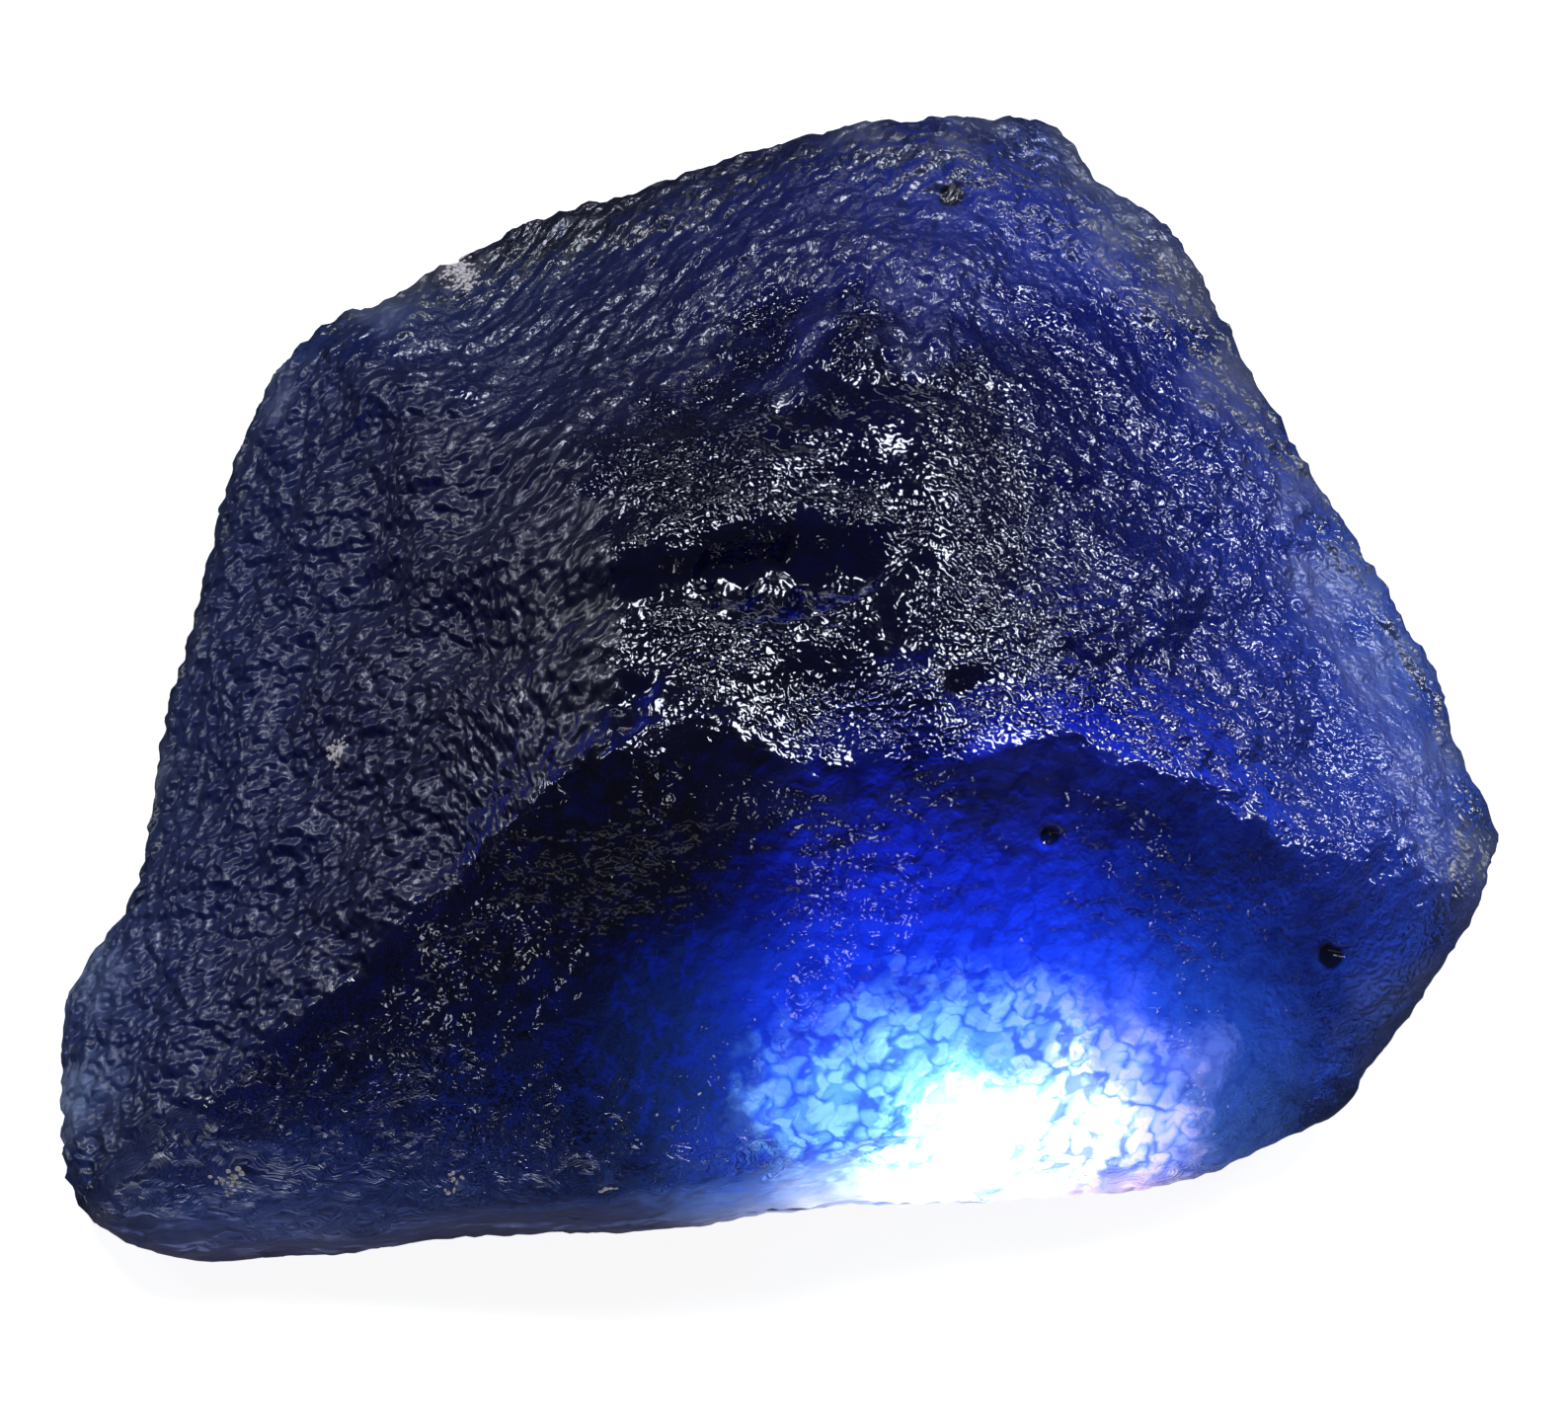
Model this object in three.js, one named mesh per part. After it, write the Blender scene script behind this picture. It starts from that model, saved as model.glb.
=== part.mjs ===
// A lump of rough tanzanite: one glassy fragment of a crystal, 50 mm long, lying on a flat cleavage face.
// Millimetres, +Z up, +X along its length to the right, -Y towards the side where it is thinnest.
// The stone is one solid. Its outline, its flat faces and its hollows are given on a sheet that leans
// back from upright by the angle below, because the broad side of the stone looks up and forward.

import * as THREE from 'three';
import { ImprovedNoise } from 'three/addons/math/ImprovedNoise.js';
import { mergeVertices } from 'three/addons/utils/BufferGeometryUtils.js';

// Driving dimensions
const LENGTH = 50;
const SHEET_LEAN = THREE.MathUtils.degToRad(65);
const LOWEST_RIM = 1;
const RIM_HALF_THICKNESS = 0.3;
const EDGE_ROUNDING = 0.25;
const CROWN_ROUNDING = 0.9;
const STONE_COLOUR = 0x1b2370;

// The rim: the line where the upper side turns under, clockwise from the upper left corner. Each point is
// [across, up the sheet, how far it lies behind the upper faces, steepness of the turn under].
const RIM = [
  [-16.9, 11.8, 1.8, 2.4], [-15.1, 13.0, 1.6, 2], [-13.9, 13.1, 1.6, 1.6], [-12.8, 14.0, 1.4, 1.2],
  [-10.7, 14.9, 1.2, 1.1], [-8.6, 16.2, 1.2, 1.1], [-6.6, 16.6, 1.2, 1.1], [-3.5, 17.5, 1.2, 1.3],
  [-1.4, 18.5, 1.2, 1.4], [0.3, 18.9, 1.2, 1.6], [2.3, 19.4, 1.2, 1.4], [5.8, 19.8, 1.2, 1],
  [8.5, 19.9, 1.2, 0.9], [9.8, 19.4, 1.2, 0.9], [10.5, 18.5, 1.2, 1], [10.9, 17.4, 1, 1.4],
  [12.8, 16.5, 0.8, 1.4], [14.4, 14.9, 0.8, 1.2], [16.8, 10, 0.8, 1.4], [18.9, 6.4, 0.8, 1.8],
  [21.1, 3, 0.8, 2.4], [22.8, 0, 0.8, 2.6], [23.3, -2.4, 0.8, 2.2], [24.3, -4, 0.8, 1.8],
  [25, -5.5, 0.8, 1.6], [24.4, -7.2, 0.9, 1.8], [22, -11.2, 1, 2.4], [20.4, -13, 1.2, 2.6],
  [19.7, -14.6, 1.2, 3], [19.1, -15.3, 1.2, 3], [18.5, -15.2, 1.2, 3], [16.4, -16.2, 1.2, 2.6],
  [14.2, -17.3, 1, 2], [12.3, -17.5, 0.9, 1.7], [7.1, -18, 0.9, 1.5], [2.3, -18.2, 0.9, 1.8],
  [-4.9, -19, 0.8, 3], [-10.7, -19.2, 0.8, 3.5], [-14.1, -19.7, 0.8, 3.5], [-18.5, -20.2, 0.8, 3.5],
  [-21.9, -19.6, 0.9, 3.5], [-24, -18.6, 1.2, 3], [-24.6, -17.2, 1.4, 3], [-25, -13, 1.4, 3],
  [-24.7, -10.4, 1.4, 3], [-23, -8.4, 1.5, 2.6], [-22.1, -7.2, 1.6, 2.2], [-21.8, -4.8, 1.8, 1.8],
  [-21.5, -2, 2, 1.8], [-20.8, 0.7, 2, 2.2], [-19.2, 6.5, 2, 2.6], [-18.9, 7.9, 2, 3],
  [-18.1, 10, 2, 3],
];

// The broad faces of the upper side. Each lies through three places, [across, up the sheet, height].
// lump is the height of its swells, spacing the distance between them, and stretch draws them out sideways.
// The crown's faces are worn and run softly into each other. The lower ones meet in sharp edges.
const CROWN_FACES = [
  {
    name: 'plateau', lump: 0.4, spacing: 4, stretch: 1,
    through: [[-6.6, -2.2, 16], [4.7, 12.7, 15.3], [8.5, -3.8, 15]],
  },
  {
    name: 'left slope', lump: 0.5, spacing: 3.2, stretch: 1,
    through: [[-5.2, 7.5, 16], [-18.9, 7.5, 4.5], [-6.6, -2.2, 16]],
  },
  {
    name: 'right slope', lump: 0.35, spacing: 3.4, stretch: 1,
    through: [[4.7, 12.7, 15.3], [12.3, -3.8, 13.8], [22.2, -7.7, 7.5]],
  },
  {
    name: 'back right', lump: 0.4, spacing: 3.4, stretch: 1,
    through: [[3.3, 13.2, 15.4], [8.5, 19.8, 7.6], [15.4, 12.2, 9]],
  },
  {
    name: 'back left', lump: 0.4, spacing: 3.4, stretch: 1,
    through: [[-3.2, 9.3, 15.8], [3.3, 13.2, 15.4], [-1.6, 18.2, 8]],
  },
];
const LOWER_FACES = [
  {
    name: 'front left', lump: 0.16, spacing: 5, stretch: 1,
    through: [[-6.6, -2.2, 16], [-20.5, -15, 5.9], [-1.5, -17.2, 5.6]],
  },
  {
    name: 'front right', lump: 0.22, spacing: 4, stretch: 1,
    through: [[2, -3.6, 15.6], [22.2, -7.9, 7.3], [9, -17.8, 3.7]],
  },
  {
    name: 'toe wall', lump: 0.3, spacing: 2.6, stretch: 3,
    through: [[-21, -15.4, 5.6], [-12, -16.2, 5.7], [-17, -20, 1.9]],
  },
  {
    name: 'front wall', lump: 0.3, spacing: 2.6, stretch: 3,
    through: [[-20, -20.1, 1], [7, -18.4, 1], [-1.1, -17.2, 5.6]],
  },
  {
    name: 'right corner', lump: 0.15, spacing: 4, stretch: 1,
    through: [[17.1, -11, 6.5], [14.2, -17.3, 3.4], [20.9, -12, 4.2]],
  },
];
const FACES = [...CROWN_FACES, ...LOWER_FACES];

// The broken wall that runs under from the rim, and how far below the rim its swells reach full height.
const WALL = { lump: 0.4, spacing: 3.4, stretch: 1.6, fade: 2 };

// Hollows (negative rise) and lumps on the upper side, as ovals on the sheet.
const SWELLS = [
  { name: 'upper hollow of the plateau', across: 0.6, up: 9.8, reach: [2.6, 1.1], turn: -5, rise: -0.7 },
  { name: 'lower hollow of the plateau', across: 0, up: 3.9, reach: [4.4, 1.1], turn: 5, rise: -0.8 },
  { name: 'hollow beside the corner lump', across: -9.3, up: 9.9, reach: [1.7, 3.4], turn: -20, rise: -0.8 },
  { name: 'corner lump', across: -13.1, up: 10.6, reach: [2, 2.2], turn: 0, rise: 0.9 },
  { name: 'scoop in the front', across: -7.5, up: -9.5, reach: [6.5, 4], turn: 25, rise: -0.9 },
  { name: 'worn crease in the front', across: 2.2, up: -10, reach: [1.8, 7], turn: 0, rise: -0.4 },
  { name: 'fold across the right slope', across: 16.2, up: 2, reach: [4.6, 1], turn: 20, rise: -0.7 },
];

// The mesh: a ball of triangles laid on the stone by rays from its heart, then made even and split once.
const HEART = new THREE.Vector3(0, 0, 4);
const BALL_CENTRE = new THREE.Vector3(0, 0, 8);
const BALL_SIZE = new THREE.Vector3(25, 20, 10);
const BALL_DETAIL = 10;
const COARSE_ROUNDS = 40;
const FINE_ROUNDS = 5;
const HOLD_BACK = 0.3;
const UNDERSIDE_FINENESS = 0.5;
const UNDERSIDE_HEIGHT = 1;
const RIDGE_REACH = 0.6;
const SKIN_REACH = 3;
const SKIN_ERROR = 0.0002;
const FLAT_ERROR = 0.001;

const noise = new ImprovedNoise();
const upSheet = new THREE.Vector3(0, Math.sin(SHEET_LEAN), Math.cos(SHEET_LEAN));
const offSheet = new THREE.Vector3(0, -Math.cos(SHEET_LEAN), Math.sin(SHEET_LEAN));

// The point at a height above the ground that shows at a place on the sheet.
function place([across, up, height]) {
  return new THREE.Vector3(across, (up - height * Math.cos(SHEET_LEAN)) / Math.sin(SHEET_LEAN), height);
}

function facePlane(face) {
  const plane = new THREE.Plane().setFromCoplanarPoints(...face.through.map(place));
  return plane.distanceToPoint(HEART) > 0 ? plane.negate() : plane;
}

const planes = FACES.map(facePlane);

// The rim's points with their distance off the sheet: behind the lowest face there, but above the ground.
const rimPoints = RIM.map(([across, up, behind, turn]) => {
  const foot = new THREE.Vector3(across, 0, 0).addScaledVector(upSheet, up);
  const faces = planes.map((plane) => -plane.distanceToPoint(foot) / plane.normal.dot(offSheet));
  const ground = (LOWEST_RIM - foot.z) / offSheet.z;
  return { across, up, off: Math.max(Math.min(...faces) - behind, ground), turn };
});

// How far a place on the sheet is inside the rim, with the nearby rim's distance off the sheet and its turn.
function rimNear(across, up) {
  const sharpness = 4;
  const softening = 0.05;
  let nearest = Infinity;
  let inside = false;
  let weights = 0;
  let off = 0;
  let turn = 0;
  rimPoints.forEach((a, index) => {
    const b = rimPoints[(index + 1) % rimPoints.length];
    const runAcross = b.across - a.across;
    const runUp = b.up - a.up;
    const along = ((across - a.across) * runAcross + (up - a.up) * runUp) / (runAcross ** 2 + runUp ** 2);
    const t = THREE.MathUtils.clamp(along, 0, 1);
    const distance = Math.hypot(across - a.across - t * runAcross, up - a.up - t * runUp);
    const weight = 1 / (distance + softening) ** sharpness;
    nearest = Math.min(nearest, distance);
    weights += weight;
    off += weight * THREE.MathUtils.lerp(a.off, b.off, t);
    turn += weight * THREE.MathUtils.lerp(a.turn, b.turn, t);
    const crossing = a.across + (up - a.up) * runAcross / runUp;
    if ((a.up > up) !== (b.up > up) && across < crossing) {
      inside = !inside;
    }
  });
  return { depth: inside ? nearest : -nearest, off: off / weights, turn: turn / weights };
}

function swell(across, up) {
  let rise = 0;
  for (const shape of SWELLS) {
    const turn = THREE.MathUtils.degToRad(shape.turn);
    const x = across - shape.across;
    const y = up - shape.up;
    const long = (x * Math.cos(turn) + y * Math.sin(turn)) / shape.reach[0];
    const short = (y * Math.cos(turn) - x * Math.sin(turn)) / shape.reach[1];
    rise += shape.rise * Math.exp(-long * long - short * short);
  }
  return rise;
}

// Broad swells with smaller ones on them. Each face takes its own stretch of the noise, which seldom
// passes its usual top.
function lumps(point, face, index) {
  const finer = 1.9;
  const lower = 0.35;
  const usualTop = 0.5;
  const apart = 7.3;
  const finerApart = 3.7;
  const x = point.x / (face.spacing * face.stretch);
  const y = point.y / face.spacing;
  const z = point.z / face.spacing;
  const broad = noise.noise(x, y, z + index * apart);
  const small = noise.noise(x * finer, y * finer, z * finer + index * finerApart);
  return face.lump / usualTop * (broad + lower * small);
}

// How far a point is past each face, past the wall that runs under from the rim, and past the ground.
function sidesAt(point, rim) {
  const slant = Math.abs(point.dot(offSheet) - rim.off) - RIM_HALF_THICKNESS - rim.turn * rim.depth;
  const wall = Math.max(slant / Math.hypot(1, rim.turn), -rim.depth);
  return [...planes.map((plane) => plane.distanceToPoint(point)), wall, -point.z];
}

// The highest of several sides, rounded where they meet, with the share that each side has in it.
function roundedTop(sides, rounding) {
  const highest = Math.max(...sides);
  const weights = sides.map((side) => Math.exp((side - highest) / rounding));
  const total = weights.reduce((sum, weight) => sum + weight);
  return { top: highest + rounding * Math.log(total), shares: weights.map((weight) => weight / total) };
}

// Below zero inside the stone, above zero outside.
function outside(point) {
  const up = point.dot(upSheet);
  const rim = rimNear(point.x, up);
  const sides = sidesAt(point, rim).slice(0, -1);
  const crown = roundedTop(sides.slice(0, CROWN_FACES.length), CROWN_ROUNDING);
  const body = roundedTop([crown.top, ...sides.slice(CROWN_FACES.length)], EDGE_ROUNDING);
  const [crownShare, ...lowerShares] = body.shares;
  const wallShare = lowerShares.pop();
  const faceShares = [...crown.shares.map((share) => share * crownShare), ...lowerShares];
  const belowRim = Math.min(1, Math.abs(point.dot(offSheet) - rim.off) / WALL.fade);
  let relief = (1 - wallShare) * swell(point.x, up);
  relief += wallShare * belowRim * lumps(point, WALL, FACES.length);
  for (const [index, face] of FACES.entries()) {
    relief += faceShares[index] * lumps(point, face, index);
  }
  return Math.max(body.top - relief, -point.z);
}

// Where the ray from the heart of the stone towards a point leaves it, no further than reach from there.
function skin(towards, reach) {
  const direction = towards.clone().sub(HEART);
  const distance = direction.length();
  direction.divideScalar(distance);
  const point = new THREE.Vector3();
  let near = Math.max(0, distance - reach);
  let far = distance + reach;
  while (far - near > SKIN_ERROR) {
    const middle = (near + far) / 2;
    point.copy(HEART).addScaledVector(direction, middle);
    if (outside(point) < 0) {
      near = middle;
    } else {
      far = middle;
    }
  }
  if (point.z < FLAT_ERROR) {
    point.z = 0;
  }
  return point;
}

// Slides a point onto the sharp ridge between the two highest sides of the stone there, where one is near.
function ontoRidge(point) {
  const step = 0.01;
  const here = sidesAt(point, rimNear(point.x, point.dot(upSheet)));
  const [first, second] = here.map((side, index) => index).sort((a, b) => here[b] - here[a]);
  const lead = (spot) => {
    const sides = sidesAt(spot, rimNear(spot.x, spot.dot(upSheet)));
    return sides[first] - sides[second];
  };
  const gap = lead(point);
  const worn = Math.max(first, second) < CROWN_FACES.length;
  if (worn || gap > 2 * RIDGE_REACH) {
    return point;
  }
  const slope = new THREE.Vector3(
    lead(point.clone().setX(point.x + step)) - gap,
    lead(point.clone().setY(point.y + step)) - gap,
    lead(point.clone().setZ(point.z + step)) - gap,
  ).divideScalar(step);
  const move = slope.multiplyScalar(-gap / slope.lengthSq());
  return move.length() < RIDGE_REACH ? skin(point.clone().add(move), SKIN_REACH) : point;
}

// The ball's points on the stone, and its triangles as triples of points.
function ballOnStone() {
  const ball = new THREE.IcosahedronGeometry(1, BALL_DETAIL);
  ball.deleteAttribute('normal');
  ball.deleteAttribute('uv');
  const merged = mergeVertices(ball);
  const position = merged.getAttribute('position');
  const points = [];
  for (let index = 0; index < position.count; index += 1) {
    const point = new THREE.Vector3().fromBufferAttribute(position, index);
    points.push(skin(point.multiply(BALL_SIZE).add(BALL_CENTRE), LENGTH));
  }
  return { points, corners: Array.from(merged.index.array) };
}

// Draws the points towards their longer edges, so that the triangles become even. Edges on the underside
// pull less, so they stay longer.
function even({ points, corners }, rounds) {
  const neighbours = points.map(() => new Set());
  corners.forEach((corner, index) => {
    const next = corners[index % 3 === 2 ? index - 2 : index + 1];
    neighbours[corner].add(next);
    neighbours[next].add(corner);
  });
  for (let round = 0; round < rounds; round += 1) {
    points.forEach((point, index) => {
      const target = new THREE.Vector3();
      let pull = 0;
      for (const other of neighbours[index]) {
        const fineness = point.z + points[other].z < UNDERSIDE_HEIGHT ? UNDERSIDE_FINENESS : 1;
        const weight = point.distanceToSquared(points[other]) * fineness;
        target.addScaledVector(points[other], weight);
        pull += weight;
      }
      points[index] = skin(target.divideScalar(pull).lerp(point, HOLD_BACK), SKIN_REACH);
    });
  }
}

// Each triangle becomes four, with the new points on the stone's skin.
function split({ points, corners }) {
  const fine = [...points];
  const middles = new Map();
  const middle = (a, b) => {
    const key = Math.min(a, b) * points.length + Math.max(a, b);
    if (!middles.has(key)) {
      middles.set(key, fine.length);
      fine.push(skin(points[a].clone().lerp(points[b], 0.5), SKIN_REACH));
    }
    return middles.get(key);
  };
  const quarters = [];
  for (let index = 0; index < corners.length; index += 3) {
    const [a, b, c] = corners.slice(index, index + 3);
    const [ab, bc, ca] = [middle(a, b), middle(b, c), middle(c, a)];
    quarters.push(a, ab, ca, b, bc, ab, c, ca, bc, ab, bc, ca);
  }
  return { points: fine, corners: quarters };
}

function stoneGeometry() {
  const coarse = ballOnStone();
  even(coarse, COARSE_ROUNDS);
  const fine = split(coarse);
  even(fine, FINE_ROUNDS);
  const geometry = new THREE.BufferGeometry().setFromPoints(fine.points.map(ontoRidge));
  geometry.setIndex(fine.corners);
  return geometry;
}

// Brings the stone to its exact length, centred over the origin with its cleavage face on the ground.
function settle(geometry) {
  geometry.computeBoundingBox();
  const box = geometry.boundingBox;
  const scale = LENGTH / (box.max.x - box.min.x);
  geometry.translate(-(box.min.x + box.max.x) / 2, -(box.min.y + box.max.y) / 2, -box.min.z);
  geometry.scale(scale, scale, scale);
  geometry.computeVertexNormals();
  return geometry;
}

function stoneMaterial() {
  return new THREE.MeshStandardMaterial({ color: STONE_COLOUR, roughness: 0.25, metalness: 0 });
}

const stone = new THREE.Mesh(settle(stoneGeometry()), stoneMaterial());
stone.name = 'rough_stone';

const part = new THREE.Group();
part.add(stone);

export default part;
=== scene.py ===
"""A lump of rough tanzanite, 50 mm long, lying on a pale table. Metres, in the frame of its solid."""

from math import cos, pi, radians, sin

import bmesh
import bpy
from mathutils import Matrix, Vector


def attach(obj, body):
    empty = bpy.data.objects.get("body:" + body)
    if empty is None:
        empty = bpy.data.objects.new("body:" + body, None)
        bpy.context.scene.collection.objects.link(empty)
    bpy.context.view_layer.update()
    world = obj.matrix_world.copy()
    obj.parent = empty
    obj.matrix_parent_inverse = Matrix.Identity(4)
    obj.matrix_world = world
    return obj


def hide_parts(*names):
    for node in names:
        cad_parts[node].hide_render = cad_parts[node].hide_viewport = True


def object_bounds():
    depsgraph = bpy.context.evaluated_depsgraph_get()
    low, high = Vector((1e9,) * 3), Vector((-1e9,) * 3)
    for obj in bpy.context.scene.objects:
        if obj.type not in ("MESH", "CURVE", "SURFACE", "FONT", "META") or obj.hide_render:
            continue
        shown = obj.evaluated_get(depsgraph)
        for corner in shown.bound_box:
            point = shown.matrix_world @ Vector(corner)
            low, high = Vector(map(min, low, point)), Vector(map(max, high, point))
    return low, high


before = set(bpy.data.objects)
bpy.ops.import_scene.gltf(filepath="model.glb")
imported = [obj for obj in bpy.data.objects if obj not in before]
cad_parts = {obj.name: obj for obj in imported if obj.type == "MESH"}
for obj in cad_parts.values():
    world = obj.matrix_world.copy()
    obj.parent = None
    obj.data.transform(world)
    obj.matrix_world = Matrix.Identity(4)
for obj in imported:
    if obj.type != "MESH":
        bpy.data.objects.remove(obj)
solid_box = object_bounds()


# The stone
# One fragment of a zoisite crystal, broken along flat faces and etched by the ground that it lay in. The
# solid's mesh is cut finer, and its skin gets lumps, cobbles, grains, fibres, a dug hollow, a lip and pits.
MM = 0.001
SHEET_LEAN = radians(65)
SHEET_ZERO = Vector((0.037, 1.773, 0)) * MM

# The faces of the stone, each by three places on the leaning sheet: across, up and height, in millimetres.
FACES = {
    "plateau": [(-6.6, -2.2, 16), (4.7, 12.7, 15.3), (8.5, -3.8, 15)],
    "left slope": [(-5.2, 7.5, 16), (-18.9, 7.5, 4.5), (-6.6, -2.2, 16)],
    "front left": [(-6.6, -2.2, 16), (-20.5, -15, 5.9), (-1.5, -17.2, 5.6)],
    "front right": [(2, -3.6, 15.6), (22.2, -7.9, 7.3), (9, -17.8, 3.7)],
    "right slope": [(4.7, 12.7, 15.3), (12.3, -3.8, 13.8), (22.2, -7.7, 7.5)],
    "back right": [(3.3, 13.2, 15.4), (8.5, 19.8, 7.6), (15.4, 12.2, 9)],
    "back left": [(-3.2, 9.3, 15.8), (3.3, 13.2, 15.4), (-1.6, 18.2, 8)],
    "toe wall": [(-21, -15.4, 5.6), (-12, -16.2, 5.7), (-17, -20, 1.9)],
    "front wall": [(-20, -20.1, 1), (7, -18.4, 1), (-1.1, -17.2, 5.6)],
    "right corner": [(17.1, -11, 6.5), (14.2, -17.3, 3.4), (20.9, -12, 4.2)],
}

# The faces that share a kind of skin.
REGIONS = {
    "plateau": ["plateau"],
    "left": ["left slope"],
    "front": ["front left", "front right"],
    "right": ["right slope"],
    "back": ["back right", "back left"],
    "wall": ["toe wall", "front wall"],
}

# In millimetres: how far the border between two faces wanders and blends, the heights above the table between
# which the relief grows to its full depth, and, across the sheet, where the left slope's fibres and the right
# shoulder's cells start and are full.
BORDER_WANDER = 3
BORDER_BLEND = 0.6
RELIEF_HEIGHTS = (0.2, 1.2)
FIBRED_ACROSS = (-12, -7)
SHOULDER_ACROSS = (3, 7)

# Small marks on the upper side, on the same sheet: across, up and radius, in millimetres.
BLACK_SPECKS = [(5.9, 16.9, 0.42), (9.2, -5.35, 0.36), (18.9, -9.5, 0.46)]
CREAM_PATCHES = [
    (-11.2, 14.2, 0.6), (-15.2, -2.4, 0.2), (-12.4, -3.1, 0.1), (-18.9, -17.2, 0.3),
    (-11.2, -17.3, 0.1), (-6.1, -17.1, 0.1), (-8.8, -0.7, 0.1),
]

# Smooth black hollows on the plateau, and clusters of glinting cells around them.
HOLLOWS = [
    (-2.6, 3.7, 0.6), (-1.4, 3.3, 0.9), (0, 3.1, 1), (1.3, 3.2, 0.9), (2.6, 3.6, 0.7), (0.2, 9.2, 0.9),
    (4.4, 11, 1.1), (-2.4, 10.6, 0.6), (-5.2, -0.8, 0.9), (-6.8, -3.6, 1), (6.4, -0.2, 0.7),
]
GLINTS = [
    (-0.6, 12.4, 0.7), (-0.9, 11, 0.7), (-1.6, 9.6, 0.7), (-3.8, 8.2, 0.9), (-4.4, 6.8, 0.8),
    (-1, 6.6, 1.2), (1.5, 7.2, 0.9), (2.6, 5.8, 0.7), (4.2, 5.4, 0.7), (6.4, 5, 0.7), (2.4, 12, 0.7),
    (-5, 5.4, 0.7), (-3.4, 1.8, 0.9), (-1.2, 1.2, 0.6), (-2.4, 0.3, 0.5), (1.2, 2.2, 0.6),
    (1, -0.8, 1), (3.4, -1, 0.9), (5, -2.4, 0.8), (8, -2.4, 1), (10, -1.4, 1.2), (-4, -2.8, 0.5),
    (8.5, 5.5, 1), (7, 8, 1), (5.5, 2.5, 0.8), (-2.6, 1.7, 0.7), (0, 1.7, 0.6), (1.6, 1.8, 0.7),
    (-5.6, 7.4, 0.9), (-3.2, 5.4, 0.8),
]

# A raised lip above the large hollow.
LIPS = [
    (-6.4, 4.2, 0.7), (-5, 4.2, 0.8), (-3.6, 4.6, 0.8), (-2, 5.3, 0.8), (-0.4, 5.4, 0.8),
    (1.2, 5.4, 0.8), (2.8, 5.4, 0.7),
]

# The frosty skin along the thin rims.
FROST = [
    (13.8, 14, 1.4), (15.8, 10.6, 1.6), (17.6, 6.6, 1.3), (19.2, 3.4, 1.8), (20.9, 0.4, 1.5),
    (22.4, -3, 1.6), (23.4, -6.4, 1.3), (20.8, -11.2, 0.9), (10.6, 18.4, 1.2), (6.5, 20.2, 1.1),
    (11.6, 15.4, 1.2), (2, 20.2, 0.8), (-13.8, 13.6, 1.2), (-18, 11, 1), (-20.6, 7, 0.9),
    (-22, 2, 0.9), (-22.4, -3.4, 0.8), (-25, -10, 0.9), (-24.4, -14.5, 0.8),
]

# The cracked part of the front where the torch's glow is painted into the tint, and the skin is a little
# rougher.
MILK_AND_GLOW_MARKS = [(6.5, -14.5, 4.6), (1.8, -14, 2.8), (11.5, -14.8, 2.8), (4, -12, 2.4), (8.8, -12.2, 2.2)]

up_sheet = Vector((0, sin(SHEET_LEAN), cos(SHEET_LEAN)))
off_sheet = Vector((0, -cos(SHEET_LEAN), sin(SHEET_LEAN)))


def place(across, up, height):
    """The point at a height above the table that shows at a place on the sheet."""
    level = (up - height * cos(SHEET_LEAN)) / sin(SHEET_LEAN)
    return Vector((across, level, height)) * MM + SHEET_ZERO


def add(tree, kind, inputs=None, **settings):
    """A new node with its settings, and its inputs given as values or as other nodes' outputs."""
    made = tree.nodes.new(kind)
    for name, value in settings.items():
        setattr(made, name, value)
    for socket, value in (inputs or {}).items():
        if isinstance(value, bpy.types.NodeSocket):
            tree.links.new(value, made.inputs[socket])
        else:
            made.inputs[socket].default_value = value
    return made


def calc(tree, operation, *terms):
    """A sum or the like on values or on other nodes' outputs."""
    return add(tree, "ShaderNodeMath", dict(enumerate(terms)), operation=operation).outputs[0]


def vector(tree, operation, *terms):
    """The same on vectors."""
    made = add(tree, "ShaderNodeVectorMath", dict(enumerate(terms)), operation=operation)
    return made.outputs["Value" if operation in ("DOT_PRODUCT", "DISTANCE", "LENGTH") else "Vector"]


def ramp(tree, value, start, end, low=0.0, high=1.0):
    """Low before the start, high past the end, and smooth between them."""
    inputs = {"Value": value, "From Min": start, "From Max": end, "To Min": low, "To Max": high}
    return add(tree, "ShaderNodeMapRange", inputs, interpolation_type="SMOOTHSTEP").outputs["Result"]


def noise(tree, where, scale, detail=2.0):
    """Soft noise around zero."""
    inputs = {"Vector": where, "Scale": scale, "Detail": detail, "Roughness": 0.55}
    made = add(tree, "ShaderNodeTexNoise", inputs)
    return calc(tree, "SUBTRACT", made.outputs[0], 0.5)


def cells(tree, where, scale, feature):
    """The distances of a pattern of packed cells."""
    made = add(tree, "ShaderNodeTexVoronoi", {"Vector": where, "Scale": scale}, feature=feature)
    return made.outputs["Distance"]


def stretched(tree, where, along, times):
    """Where, squeezed along a direction, so that a pattern on it is drawn out that many times."""
    along = along.normalized()
    share = vector(tree, "DOT_PRODUCT", where, along)
    back = calc(tree, "MULTIPLY", share, 1 / times - 1)
    moved = vector(tree, "SCALE", along)
    tree.links.new(back, moved.node.inputs["Scale"])
    return vector(tree, "ADD", where, moved)


# The directions in which the fibres run, up the left slope and along the wall.
along_slope = place(1, 12, 16) - place(-9, -4, 12)
along_wall = Vector((1, 0.04, 0))


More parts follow.
